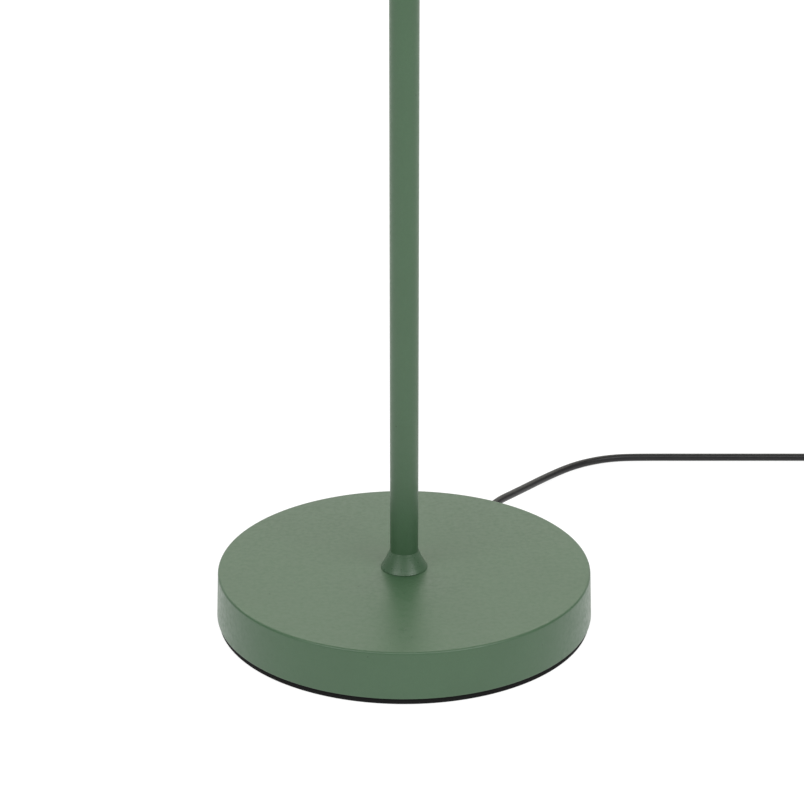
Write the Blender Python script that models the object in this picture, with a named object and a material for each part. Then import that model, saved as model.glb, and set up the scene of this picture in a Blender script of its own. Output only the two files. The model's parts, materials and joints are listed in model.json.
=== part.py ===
"""Adjustable arm floor lamp, modelled in Blender.

A round weighted base carries a two-piece pole. A knuckle swivels on the pole's top, an arm
tilts on the knuckle, and a conical shade tilts on the arm's far end. Each pivot is two cups face
to face, clamped by a bolt and a fluted knob. The mains cord leaves the back of the base.

All sizes are in millimetres and are turned into metres where a mesh is made. The origin is on
the floor under the pole, +Z is up, the arm reaches along +X and the cord leaves towards +Y.
"""

import math

import bmesh
import bpy
from mathutils import Vector

MM = 0.001
GAP = 0.3  # clearance between pieces that touch

# Base
PAD_R = 129.2
PAD_TOP = 4.3
COVER_FOOT_R = 130.3
COVER_TOP_R = 129.0
BASE_TOP = 37.9
COVER_EDGE_R = 1.9
COVER_SHEET = 1.2
WEIGHT_R = 126.5
WEIGHT_TOP = 18.0
WEIGHT_BOSS_R = 30.0
RECESS_R = 18.0
RECESS_TOP = 24.7
ROD_R = 5.0  # M10 threaded tube
ROD_HOLE_R = ROD_R + GAP
ROD_BORE_R = 4.1
FOOT_ROD_TOP = 58.0
WASHER_R = 14.0
WASHER_THICK = 1.5
NUT_ACROSS_FLATS = 17.0
NUT_HEIGHT = 5.0
CHANNEL_HALF_WIDTH = 5.5  # the cord's way under the weight
CHANNEL_TOP = 16.0
CLAMP_OUT = 62.0  # cord clamp, from the pole's axis
CLAMP_LOW = 6.2
CLAMP_TOP = 8.7
CLAMP_HALF_LENGTH = 14.5
CLAMP_HALF_WIDTH = 4.5
CLAMP_SCREWS = {"left": 10.5, "right": -10.5}
CLAMP_SCREW_R = 1.6
CLAMP_SCREW_TOP = 15.0

# Pole
POLE_R = 9.75
POLE_WALL = 1.2
POLE_FOOT = 42.0
POLE_SPLIT = 610.0
POLE_TOP = 1170.0
COUPLER_REACH = 25.0  # into each tube
BUSH_DEPTH = 24.7
BUSH_TOP = POLE_TOP + 4.3
PLUG_IN_R = POLE_R - POLE_WALL - GAP  # pieces that slide into the pole
COLLAR_FOOT_R = 16.4
COLLAR_TOP_R = 10.35
COLLAR_TOP = 50.6

# Pivots
ARM_PIVOT_Z = 1200.0
SPIGOT_END = 62.0  # the swivel's spigot, down from the pivot
SPIGOT_BORE_R = 3.5
LOCK_NUT_R = 7.5
ARM_LENGTH = 430.0
ARM_RISE = math.radians(35)
CUP_R = 13.0
CUP_BORE_R = 9.5
CUP_FACE = 0.8  # from the pivot's middle plane
CUP_BACK = 8.3
CUP_FLOOR = 5.8
BOLT_R = 3.0
BOLT_HOLE_R = BOLT_R + GAP
BOLT_END = -20.0
BOLT_HEAD_R = 5.5
SPRING_R = 7.0
SPRING_THICK = 1.5
KNOB_R = 12.0
NECK_HALF_WIDTH = 5.0
NECK_START = 10.2
WIRE_HOLE_R = 2.4
ARM_R = 6.5
ARM_WALL = 1.0
PLUG_IN_ARM_R = ARM_R - ARM_WALL - GAP
BARREL_R = 8.0
BARREL_START = 17.0
BARREL_END = 26.0

# Head, as distances from its pivot along its own axis
HEAD_STEM_START = 22.0
HEAD_STEM_R = 7.0
HEAD_ROD_END = 44.0
CAP_TOP = 30.3
CAP_R = 22.0
CAP_CORNER_R = 9.0
CAP_WALL = 1.0
CAP_END = 88.0
SHADE_TOP = 88.3
SHADE_TOP_R = 25.5
SHADE_SHOULDER_R = 4.0
SHADE_RING_R = 23.4
SHADE_MOUTH = 200.0
SHADE_MOUTH_R = 78.0
SHADE_WALL = 0.8
HOLDER_R = 19.5
HOLDER_STEM_R = 8.0
HOLDER_BORE_R = 13.7
HOLDER_START = 58.3
HOLDER_END = 100.0
SWITCH_HEIGHT = 51.5
SWITCH_HALF_WIDTH = 7.0
SPINDLE_R = 2.0
BULB_CAP_R = 13.2
BULB_CAP_START = 62.0
BULB_CAP_END = 89.4
BULB_R = 30.0
BULB_GLASS = 1.0
BULB_CENTRE = 140.0

# Cord
CORD_R = 2.95
GLAND_AZIMUTH = math.radians(68)
GLAND_Z = 11.0
GLAND_ROOT = 122.0  # from the pole's axis
GLAND_TIP = 154.0
GLAND_HOLE_R = 4.5
LEAD_Z = 12.0  # inside the base
LEAD_BEND_R = 8.0
COIL_X = 372.0
COIL_Y = 225.9
COIL_MIDDLE_R = 37.0
COIL_HALF_WIDTH = 11.9
COIL_LOW = 0.9
COIL_HIGH = 12.0
TIE_ANGLE = math.radians(205)
PLUG_Y = 120.0
PLUG_Z = 6.85
PLUG_HALF_WIDTH = 17.5
PIN_SPACING = 19.0
PIN_R = 2.0
PIN_LENGTH = 19.0

# Where the cord lies between the gland and the coil
CORD_ROUTE = [
    (57.8, 143.1, 11.0),
    (64.9, 156.3, 11.2),
    (73.0, 170.6, 10.9),
    (81.9, 184.4, 9.3),
    (90.3, 197.7, 7.5),
    (98.6, 210.9, 5.8),
    (107.1, 223.6, 4.4),
    (115.6, 234.8, 3.5),
    (124.0, 244.5, 3.0),
    (132.4, 252.1, 3.0),
    (140.7, 258.2, 3.0),
    (149.0, 263.0, 3.0),
    (157.3, 266.7, 3.0),
    (165.5, 269.2, 3.0),
    (175.0, 270.9, 3.0),
    (188.0, 271.6, 3.0),
    (205.0, 271.8, 3.0),
    (235.0, 271.8, 3.0),
    (265.0, 271.8, 3.0),
    (295.0, 271.8, 3.0),
    (325.0, 271.8, 3.0),
    (338.0, 271.8, 3.2),
    (348.3, 271.8, 3.5),
]
TAIL_ROUTE = [
    (414.9, 197.3, 8.1),
    (414.9, 190.0, 7.6),
    (414.9, 181.0, 7.05),
    (414.9, 172.3, 6.85),
]

SIDES = 16
TUBE_SIDES = 20
SHADE_SIDES = 32
WIDE_SIDES = 48
ALONG_Y = (math.radians(-90), 0, 0)
TURNED_OVER = (0, math.radians(180), 0)
SHARP = math.radians(35)


def clear_scene():
    for obj in list(bpy.data.objects):
        bpy.data.objects.remove(obj)


def finish_material(name, colour, roughness, metallic=0.0):
    material = bpy.data.materials.new(name)
    material.use_nodes = True
    shader = material.node_tree.nodes["Principled BSDF"]
    shader.inputs["Base Color"].default_value = (*colour, 1)
    shader.inputs["Roughness"].default_value = roughness
    shader.inputs["Metallic"].default_value = metallic
    material.diffuse_color = (*colour, 1)
    return material


def pivot(name, location, rotation=(0, 0, 0)):
    """An empty at a joint, in millimetres, which the pieces beyond the joint are parented to."""
    empty = bpy.data.objects.new(name, None)
    empty.location = Vector(location) * MM
    empty.rotation_euler = rotation
    bpy.context.scene.collection.objects.link(empty)
    return empty


def piece_from(mesh_data, name, material, parent=None, at=(0, 0, 0), rotation=(0, 0, 0)):
    """Turns a bmesh into an object, at a place given in millimetres under its parent."""
    bmesh.ops.recalc_face_normals(mesh_data, faces=mesh_data.faces)
    mesh = bpy.data.meshes.new(name)
    mesh_data.to_mesh(mesh)
    mesh_data.free()
    mesh.materials.append(material)
    mesh.shade_smooth()
    mesh.set_sharp_from_angle(angle=SHARP)
    piece = bpy.data.objects.new(name, mesh)
    piece.parent = parent
    piece.location = Vector(at) * MM
    piece.rotation_euler = rotation
    bpy.context.scene.collection.objects.link(piece)
    return piece


def turned(name, material, outline, sides=SIDES, **place):
    """Turns (radius, height) points about Z. An outline that starts off the axis is a closed loop."""
    shape = bmesh.new()
    corners = [shape.verts.new((radius * MM, 0, height * MM)) for radius, height in outline]
    edges = [shape.edges.new(pair) for pair in zip(corners, corners[1:])]
    if outline[0][0] > 0:
        edges.append(shape.edges.new((corners[-1], corners[0])))
    bmesh.ops.spin(
        shape,
        geom=corners + edges,
        cent=(0, 0, 0),
        axis=(0, 0, 1),
        angle=math.tau,
        steps=sides,
        use_merge=True,
    )
    bmesh.ops.remove_doubles(shape, verts=shape.verts, dist=1e-6)
    return piece_from(shape, name, material, **place)


def ring(name, material, inner, outer, low, high, sides=SIDES, **place):
    outline = [(outer, low), (outer, high), (inner, high), (inner, low)]
    return turned(name, material, outline, sides, **place)


def rod(name, material, radius, low, high, sides=SIDES, **place):
    outline = [(0, low), (radius, low), (radius, high), (0, high)]
    return turned(name, material, outline, sides, **place)


def block(name, material, low, high, **place):
    shape = bmesh.new()
    bmesh.ops.create_cube(shape, size=1)
    low, high = Vector(low) * MM, Vector(high) * MM
    bmesh.ops.scale(shape, vec=high - low, verts=shape.verts)
    bmesh.ops.translate(shape, vec=(low + high) / 2, verts=shape.verts)
    return piece_from(shape, name, material, **place)


def prism(name, material, corners, low, high, **place):
    """Extrudes a flat outline of (x, y) corners from one height to another."""
    shape = bmesh.new()
    face = shape.faces.new([shape.verts.new((x * MM, y * MM, low * MM)) for x, y in corners])
    raised = bmesh.ops.extrude_face_region(shape, geom=[face])["geom"]
    tops = [item for item in raised if isinstance(item, bmesh.types.BMVert)]
    bmesh.ops.translate(shape, vec=(0, 0, (high - low) * MM), verts=tops)
    return piece_from(shape, name, material, **place)


def fluted(name, material, rings, lobes, depth, sides, **place):
    """A knob: rings of (radius, height) joined side to side, with soft flutes round them."""
    shape = bmesh.new()
    loops = []
    for radius, height in rings:
        loop = []
        for step in range(sides):
            angle = math.tau * step / sides
            reach = radius - depth * (0.5 - 0.5 * math.cos(lobes * angle))
            point = (reach * math.cos(angle) * MM, reach * math.sin(angle) * MM, height * MM)
            loop.append(shape.verts.new(point))
        loops.append(loop)
    for lower, upper in zip(loops, loops[1:]):
        for step in range(sides):
            after = (step + 1) % sides
            shape.faces.new((lower[step], lower[after], upper[after], upper[step]))
    shape.faces.new(loops[0][::-1])
    shape.faces.new(loops[-1])
    return piece_from(shape, name, material, **place)


def arc(centre, radius, start, end, steps):
    """Points of an arc in an outline, angles in degrees from the radius towards the height."""
    points = []
    for step in range(steps + 1):
        angle = math.radians(start + (end - start) * step / steps)
        reach = centre[0] + radius * math.cos(angle)
        points.append((reach, centre[1] + radius * math.sin(angle)))
    return points


def rounded(piece, width, segments=2):
    bevel = piece.modifiers.new("rounded", "BEVEL")
    bevel.width = width * MM
    bevel.segments = segments
    bevel.limit_method = "ANGLE"
    return piece


def combine(piece, operation, *tools):
    """Joins or cuts a piece with other shapes, which stay in the scene as hidden guides."""
    for tool in tools:
        tool.hide_render = True
        tool.display_type = "WIRE"
        boolean = piece.modifiers.new(tool.name, "BOOLEAN")
        boolean.operation = operation
        boolean.object = tool
    return piece


def smooth_points(route, spacing):
    """Points at an even spacing on a smooth curve through a route's own points."""
    route = [Vector(point) for point in route]
    ends = [2 * route[0] - route[1]] + route + [2 * route[-1] - route[-2]]
    dense = [route[0]]
    for a, b, c, d in zip(ends, ends[1:], ends[2:], ends[3:]):
        for step in range(1, 11):
            t = step / 10
            linear = (c - a) * t
            square = (2 * a - 5 * b + 4 * c - d) * t**2
            cubic = (3 * b - 3 * c + d - a) * t**3
            dense.append(b + (linear + square + cubic) / 2)
    lengths = [(after - before).length for before, after in zip(dense, dense[1:])]
    count = max(2, round(sum(lengths) / spacing))
    step = sum(lengths) / count
    points, walked = [dense[0]], 0.0
    for before, length, after in zip(dense, lengths, dense[1:]):
        while len(points) < count and walked + length >= step * len(points):
            share = (step * len(points) - walked) / length
            points.append(before.lerp(after, share))
        walked += length
    points.append(dense[-1])
    return points


def tube(name, material, points, radius, resolution=2):
    """A round cable through the points, closed at both ends."""
    curve = bpy.data.curves.new(name, "CURVE")
    curve.dimensions = "3D"
    curve.bevel_depth = radius * MM
    curve.bevel_resolution = resolution
    curve.use_fill_caps = True
    spline = curve.splines.new("POLY")
    spline.points.add(len(points) - 1)
    for target, point in zip(spline.points, points):
        target.co = (*(Vector(point) * MM), 1)
    curve.materials.append(material)
    cable = bpy.data.objects.new(name, curve)
    bpy.context.scene.collection.objects.link(cable)
    return cable


def at_gland(outward, sideways=0.0, height=0.0):
    """A point in the base, measured along and across the line from the pole to the gland."""
    across = Vector((-math.sin(GLAND_AZIMUTH), math.cos(GLAND_AZIMUTH), 0))
    along = Vector((math.cos(GLAND_AZIMUTH), math.sin(GLAND_AZIMUTH), 0))
    return along * outward + across * sideways + Vector((0, 0, height))


def make_base(paint, iron, foam, zinc):
    pad_outline = [(0, 0), (PAD_R - 0.8, 0), (PAD_R, 0.8), (PAD_R, PAD_TOP), (0, PAD_TOP)]
    turned("base_pad", foam, pad_outline, WIDE_SIDES)

    low = PAD_TOP + GAP
    boss_top = BASE_TOP - COVER_SHEET - GAP
    weight_outline = [
        (RECESS_R, low),
        (WEIGHT_R - 2, low),
        (WEIGHT_R, low + 2),
        (WEIGHT_R, WEIGHT_TOP - 3),
        (WEIGHT_R - 3, WEIGHT_TOP),
        (WEIGHT_BOSS_R + 4, WEIGHT_TOP),
        (WEIGHT_BOSS_R, WEIGHT_TOP + 4),
        (WEIGHT_BOSS_R - 1, boss_top),
        (ROD_HOLE_R, boss_top),
        (ROD_HOLE_R, RECESS_TOP),
        (RECESS_R, RECESS_TOP),
    ]
    weight = turned("base_weight", iron, weight_outline, WIDE_SIDES)
    toward_gland = (0, 0, GLAND_AZIMUTH)
    channel_low = (10, -CHANNEL_HALF_WIDTH, 0)
    channel_high = (140, CHANNEL_HALF_WIDTH, CHANNEL_TOP)
    channel = block("cord_channel", iron, channel_low, channel_high, rotation=toward_gland)
    pocket_width, pocket_length = CLAMP_HALF_WIDTH + 1, CLAMP_HALF_LENGTH + 1
    pocket_low = (CLAMP_OUT - pocket_width, -pocket_length, 0)
    pocket_high = (CLAMP_OUT + pocket_width, pocket_length, CLAMP_TOP + GAP)
    pocket = block("clamp_pocket", iron, pocket_low, pocket_high, rotation=toward_gland)
    combine(weight, "DIFFERENCE", channel, pocket)
    for side, offset in CLAMP_SCREWS.items():
        place = at_gland(CLAMP_OUT, offset)
        hole_r = CLAMP_SCREW_R + GAP
        hole = rod("screw_hole_" + side, iron, hole_r, 0, CLAMP_SCREW_TOP + 0.2, 12, at=place)
        combine(weight, "DIFFERENCE", hole)

    slope = (COVER_FOOT_R - COVER_TOP_R) / (BASE_TOP - low)
    shoulder_r = COVER_FOOT_R - slope * (BASE_TOP - COVER_EDGE_R - low)
    corner = (shoulder_r - COVER_EDGE_R, BASE_TOP - COVER_EDGE_R)
    inner_r = COVER_EDGE_R - COVER_SHEET
    cover_outline = [(COVER_FOOT_R, low)]
    cover_outline += arc(corner, COVER_EDGE_R, 0, 90, 3)
    cover_outline += [(ROD_HOLE_R, BASE_TOP), (ROD_HOLE_R, BASE_TOP - COVER_SHEET)]
    cover_outline += arc(corner, inner_r, 90, 0, 1)
    cover_outline += [(COVER_FOOT_R - COVER_SHEET, low)]
    cover = turned("base_cover", paint, cover_outline, WIDE_SIDES)
    radial = (0, math.radians(90), GLAND_AZIMUTH)
    place = (0, 0, GLAND_Z)
    hole_low, hole_high = WEIGHT_R - 8, COVER_FOOT_R + 10
    hole = rod("gland_hole", paint, GLAND_HOLE_R, hole_low, hole_high, at=place, rotation=radial)
    combine(cover, "DIFFERENCE", hole)

    washer_top = RECESS_TOP - GAP
    washer_low = washer_top - WASHER_THICK
    nut_top = washer_low - GAP
    nut_low = nut_top - NUT_HEIGHT
    ring("base_washer", zinc, ROD_HOLE_R, WASHER_R, washer_low, washer_top)
    hexagon("base_nut", zinc, NUT_ACROSS_FLATS, nut_low, nut_top)
    ring("base_nipple", zinc, ROD_BORE_R, ROD_R, nut_low - GAP, FOOT_ROD_TOP)


def hexagon(name, material, across_flats, low, high):
    """A nut for the M10 threaded tube."""
    corner_r = across_flats / math.sqrt(3)
    corners = []
    for step in range(6):
        angle = math.tau * step / 6
        corners.append((corner_r * math.cos(angle), corner_r * math.sin(angle)))
    nut = rounded(prism(name, material, corners, low, high), 0.5, 1)
    hole = rod(name + "_hole", material, ROD_HOLE_R, low - 1, high + 1)
    return combine(nut, "DIFFERENCE", hole)


def make_cord_anchor(plastic, steel):
    """The gland in the base's skirt, and the bar that grips the cord behind it."""
    skirt = COVER_FOOT_R
    gland_outline = [
        (CORD_R + GAP, GLAND_ROOT),
        (GLAND_HOLE_R - GAP, GLAND_ROOT),
        (GLAND_HOLE_R - GAP, skirt + 0.5),
        (6.2, skirt + 0.5),
        (6.2, skirt + 2.0),
        (5.2, skirt + 2.8),
        (4.8, skirt + 3.4),
        (4.0, GLAND_TIP - 0.5),
        (3.7, GLAND_TIP),
        (CORD_R + GAP, GLAND_TIP),
    ]
    radial = (0, math.radians(90), GLAND_AZIMUTH)
    turned("cord_gland", plastic, gland_outline, at=(0, 0, GLAND_Z), rotation=radial)

    toward_gland = (0, 0, GLAND_AZIMUTH)
    bar_low = (CLAMP_OUT - CLAMP_HALF_WIDTH, -CLAMP_HALF_LENGTH, CLAMP_LOW)
    bar_high = (CLAMP_OUT + CLAMP_HALF_WIDTH, CLAMP_HALF_LENGTH, CLAMP_TOP)
    bar = block("cord_clamp_bar", steel, bar_low, bar_high, rotation=toward_gland)
    rounded(bar, 0.5, 1)
    for side, offset in CLAMP_SCREWS.items():
        place = at_gland(CLAMP_OUT, offset)
        hole_r = CLAMP_SCREW_R + GAP
        hole = rod("clamp_hole_" + side, steel, hole_r, 0, CLAMP_TOP + 3, 12, at=place)
        combine(bar, "DIFFERENCE", hole)
        head_low = PAD_TOP + GAP
        head_high = CLAMP_LOW - GAP
        screw_outline = [
            (0, head_low),
            (2.6, head_low),
            (3.0, head_high - 0.4),
            (3.0, head_high),
            (CLAMP_SCREW_R, head_high),
            (CLAMP_SCREW_R, CLAMP_SCREW_TOP - 0.6),
            (0, CLAMP_SCREW_TOP),
        ]
        turned("cord_clamp_screw_" + side, steel, screw_outline, 12, at=place)


def make_pole(paint, steel):
    collar_low = BASE_TOP + GAP
    collar_outline = [
        (ROD_HOLE_R, collar_low),
        (COLLAR_FOOT_R, collar_low),
        (COLLAR_FOOT_R, collar_low + 0.5),
        (COLLAR_TOP_R, COLLAR_TOP),
        (POLE_R + GAP, COLLAR_TOP),
        (POLE_R + GAP, POLE_FOOT - GAP),
        (ROD_HOLE_R, POLE_FOOT - GAP),
    ]
    turned("pole_collar", paint, collar_outline, TUBE_SIDES)
    bore_r = POLE_R - POLE_WALL
    ring("pole_foot_bush", steel, ROD_HOLE_R, PLUG_IN_R, POLE_FOOT, FOOT_ROD_TOP + 3)
    ring("pole_lower", paint, bore_r, POLE_R, POLE_FOOT, POLE_SPLIT, TUBE_SIDES)
    coupler_low, coupler_high = POLE_SPLIT - COUPLER_REACH, POLE_SPLIT + COUPLER_REACH
    ring("pole_coupler", steel, 5.0, PLUG_IN_R, coupler_low, coupler_high)
    ring("pole_upper", paint, bore_r, POLE_R, POLE_SPLIT + GAP, POLE_TOP, TUBE_SIDES)
    bush_outline = [
        (ROD_HOLE_R, POLE_TOP - BUSH_DEPTH),
        (PLUG_IN_R, POLE_TOP - BUSH_DEPTH),
        (PLUG_IN_R, POLE_TOP + GAP),
        (POLE_R, POLE_TOP + GAP),
        (POLE_R, BUSH_TOP),
        (ROD_HOLE_R, BUSH_TOP),
    ]
    turned("pole_top_bush", steel, bush_outline, TUBE_SIDES)


def cup_outline(side):
    """A pivot cup, open towards the pivot's middle plane, with the bolt's hole in its floor."""
    loop = [
        (CUP_R, CUP_FACE),
        (CUP_R, CUP_BACK - 1.2),
        (CUP_R - 1.2, CUP_BACK),
        (BOLT_HOLE_R, CUP_BACK),
        (BOLT_HOLE_R, CUP_FLOOR),
        (CUP_BORE_R, CUP_FLOOR),
        (CUP_BORE_R, CUP_FACE),
    ]
    return [(radius, side * height) for radius, height in loop]


def knuckle(name, paint, stem_outline, side, parent, at=(0, 0, 0), rotation=(0, 0, 0)):
    """A cup on one side of the pivot's middle plane, with a neck to a stem along its own Z axis.

    A hole for the wires runs from the cup's hollow, down the neck, to the stem's bore.
    """
    stem_start = stem_outline[0][1]
    place = {"parent": parent, "at": at, "rotation": rotation}
    piece = turned(name, paint, stem_outline, **place)
    in_frame = {"parent": piece}
    cup_place = {"parent": piece, "rotation": ALONG_Y}
    cup = turned(name + "_cup", paint, cup_outline(side), TUBE_SIDES, **cup_place)
    faces = sorted((side * CUP_FACE, side * (CUP_BACK - 0.4)))
    low = (-NECK_HALF_WIDTH, faces[0], NECK_START)
    high = (NECK_HALF_WIDTH, faces[1], stem_start + 1.5)
    neck = block(name + "_neck", paint, low, high, **in_frame)
    combine(piece, "UNION", neck, cup)
    middle = side * (CUP_FACE + CUP_FLOOR) / 2
    end = stem_start + 4
    hole = rod(name + "_wires", paint, WIRE_HOLE_R, 8, end, 12, at=(0, middle, 0), **in_frame)
    return combine(piece, "DIFFERENCE", hole)


def clamp_pieces(name, steel, plastic, rubbery, parent):
    """What clamps a pivot: its bolt, friction ring, spring washer and fluted knob, along Y."""
    place = {"parent": parent, "rotation": ALONG_Y}
    bolt_outline = [
        (0, BOLT_END),
        (BOLT_R, BOLT_END),
        (BOLT_R, CUP_BACK + GAP),
        (BOLT_HEAD_R, CUP_BACK + GAP),
        (BOLT_HEAD_R, CUP_BACK + 2.0),
        (BOLT_HEAD_R - 1.3, CUP_BACK + 3.4),
        (0, CUP_BACK + 3.8),
    ]
    turned(name + "_hinge_bolt", steel, bolt_outline, **place)
    ring(name + "_friction_ring", rubbery, CUP_BORE_R + 0.3, CUP_R - 0.5, -0.5, 0.5, **place)
    spring_high = -CUP_BACK - GAP
    spring_low = spring_high - SPRING_THICK
    ring(name + "_spring_washer", steel, BOLT_HOLE_R, SPRING_R, spring_low, spring_high, **place)
    knob_high = spring_low - GAP
    knob_rings = [
        (KNOB_R - 2.5, knob_high - 12.5),
        (KNOB_R, knob_high - 10.8),
        (KNOB_R, knob_high - 2.6),
        (KNOB_R - 4.0, knob_high - 1.4),
        (KNOB_R - 4.0, knob_high),
    ]
    knob = fluted(name + "_knob", plastic, knob_rings, 8, 1.6, 32, **place)
    bore_low, bore_high = BOLT_END - GAP, knob_high + 1
    hole = rod(name + "_knob_hole", plastic, BOLT_HOLE_R, bore_low, bore_high, **place)
    combine(knob, "DIFFERENCE", hole)


def make_swivel(paint, steel):
    disc_low = ARM_PIVOT_Z - BUSH_TOP - GAP
    stem_outline = [
        (0, disc_low - 4.4),
        (POLE_R - 0.7, disc_low - 4.4),
        (POLE_R, disc_low - 3.7),
        (POLE_R, disc_low),
        (ROD_R, disc_low),
        (ROD_R, SPIGOT_END),
        (SPIGOT_BORE_R, SPIGOT_END),
        (SPIGOT_BORE_R, disc_low - 2.0),
        (0, disc_low - 2.0),
    ]
    at = (0, 0, ARM_PIVOT_Z)
    knuckle("swivel_knuckle", paint, stem_outline, 1, None, at, TURNED_OVER)
    place = {"at": at, "rotation": TURNED_OVER}
    nut_low = ARM_PIVOT_Z - POLE_TOP + BUSH_DEPTH + GAP
    nut_high = nut_low + NUT_HEIGHT
    ring("swivel_lock_nut", steel, ROD_HOLE_R, LOCK_NUT_R, nut_low, nut_high, **place)


def make_arm(paint, lead, arm):
    """The arm's pieces, with the arm's empty at its lower pivot and its Z axis along the tube."""
    stem_outline = [
        (0, BARREL_START),
        (BARREL_R - 0.6, BARREL_START),
        (BARREL_R, BARREL_START + 0.6),
        (BARREL_R, BARREL_END - 0.8),
        (BARREL_R - 0.8, BARREL_END),
        (PLUG_IN_ARM_R, BARREL_END),
        (PLUG_IN_ARM_R, BARREL_END + 16),
        (CORD_R + GAP, BARREL_END + 16),
        (CORD_R + GAP, BARREL_START + 3),
        (0, BARREL_START + 3),
    ]
    knuckle("arm_knuckle", paint, stem_outline, -1, arm)
    far_end = (0, 0, ARM_LENGTH)
    knuckle("arm_end_knuckle", paint, stem_outline, 1, arm, far_end, TURNED_OVER)
    tube_low = BARREL_END + GAP
    ring("arm_tube", paint, ARM_R - ARM_WALL, ARM_R, tube_low, ARM_LENGTH - tube_low, parent=arm)
    lead_low = BARREL_END - 2.0
    rod("arm_lead", lead, CORD_R, lead_low, ARM_LENGTH - lead_low, 12, parent=arm)


def make_head(paint, white, steel, lead, head):
    """The head's pieces, with the head's empty at its pivot and its Z axis out of the shade."""
    nipple_low = HEAD_STEM_START + 2.6
    stem_outline = [
        (0, HEAD_STEM_START),
        (HEAD_STEM_R - 0.6, HEAD_STEM_START),
        (HEAD_STEM_R, HEAD_STEM_START + 0.6),
        (HEAD_STEM_R, CAP_TOP - GAP),
        (ROD_HOLE_R, CAP_TOP - GAP),
        (ROD_HOLE_R, nipple_low - GAP),
        (0, nipple_low - GAP),
    ]
    knuckle("head_knuckle", paint, stem_outline, -1, head)
    ring("head_nipple", steel, 3.6, ROD_R, nipple_low, HEAD_ROD_END, parent=head)
    rod("head_lead", lead, CORD_R, nipple_low + 2, HEAD_ROD_END + 12, 12, parent=head)

    corner = (CAP_R - CAP_CORNER_R, CAP_TOP + CAP_CORNER_R)
    cap_outline = [(ROD_HOLE_R, CAP_TOP)]
    cap_outline += arc(corner, CAP_CORNER_R, -90, 0, 4)
    cap_outline += [(CAP_R, CAP_END), (CAP_R - CAP_WALL, CAP_END)]
    cap_outline += arc(corner, CAP_CORNER_R - CAP_WALL, 0, -90, 3)
    cap_outline += [(ROD_HOLE_R, CAP_TOP + CAP_WALL)]
    cap = turned("socket_cap", paint, cap_outline, 24, parent=head)
    place = {"parent": head, "at": (0, 0, SWITCH_HEIGHT), "rotation": (0, math.radians(-90), 0)}
    hole = rod("spindle_hole", paint, SPINDLE_R + 0.6, 18, 26, 12, **place)
    combine(cap, "DIFFERENCE", hole)

    holder_outline = [
        (ROD_HOLE_R, CAP_TOP + CAP_WALL + 0.7),
        (HOLDER_STEM_R, CAP_TOP + CAP_WALL + 0.7),
        (HOLDER_STEM_R, HOLDER_START),
        (HOLDER_R - 1.5, HOLDER_START),
        (HOLDER_R, HOLDER_START + 1.5),
        (HOLDER_R, HOLDER_END),
        (HOLDER_BORE_R + 0.9, HOLDER_END),
        (HOLDER_BORE_R, HOLDER_END - 1.0),
        (HOLDER_BORE_R, BULB_CAP_START - 0.5),
        (ROD_HOLE_R, BULB_CAP_START - 0.5),
    ]
    turned("lamp_holder", white, holder_outline, 24, parent=head)
    ring_low = SHADE_TOP + SHADE_WALL + 0.4
    ring_inner = HOLDER_R + 0.4
    ring("shade_ring", white, ring_inner, SHADE_RING_R, ring_low, ring_low + 6, 24, parent=head)
    turned("lampshade", paint, shade_outline(), SHADE_SIDES, parent=head)


def shade_outline():
    """A cone with a soft shoulder, open at the mouth, with a hole for the holder in its flat top."""
    lean = math.atan2(SHADE_MOUTH_R - SHADE_TOP_R, SHADE_MOUTH - SHADE_TOP)
    bend = math.pi / 2 - lean
    corner_r = SHADE_TOP_R - SHADE_SHOULDER_R * math.tan(bend / 2)
    centre = (corner_r, SHADE_TOP + SHADE_SHOULDER_R)
    inner_r = SHADE_SHOULDER_R - SHADE_WALL
    side = -math.degrees(lean)
    hole_r = HOLDER_R + 0.6
    outline = [(hole_r, SHADE_TOP)]
    outline += arc(centre, SHADE_SHOULDER_R, -90, side, 4)
    outline += [(SHADE_MOUTH_R, SHADE_MOUTH)]
    outline += [(SHADE_MOUTH_R - SHADE_WALL / math.cos(lean), SHADE_MOUTH)]
    outline += arc(centre, inner_r, side, -90, 3)
    return outline + [(hole_r, SHADE_TOP + SHADE_WALL)]


def make_bulb(nickel, glass, head):
    cap_outline = [
        (0, BULB_CAP_START),
        (4.5, BULB_CAP_START + 0.4),
        (9.0, BULB_CAP_START + 4.0),
        (BULB_CAP_R, BULB_CAP_START + 6.5),
        (BULB_CAP_R, BULB_CAP_END),
        (0, BULB_CAP_END),
    ]
    turned("bulb_cap", nickel, cap_outline, parent=head)
    neck = [(15.4, 109.0), (12.8, 99.0), (12.5, BULB_CAP_END + GAP)]
    centre = (0, BULB_CENTRE)
    outline = arc(centre, BULB_R, 90, -48, 7) + neck
    outline += [(radius - BULB_GLASS, height) for radius, height in reversed(neck)]
    outline += arc(centre, BULB_R - BULB_GLASS, -46, 90, 7)
    outline[0] = (0, BULB_CENTRE + BULB_R)
    outline[-1] = (0, BULB_CENTRE + BULB_R - BULB_GLASS)
    turned("bulb_globe", glass, outline, 24, parent=head)


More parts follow.
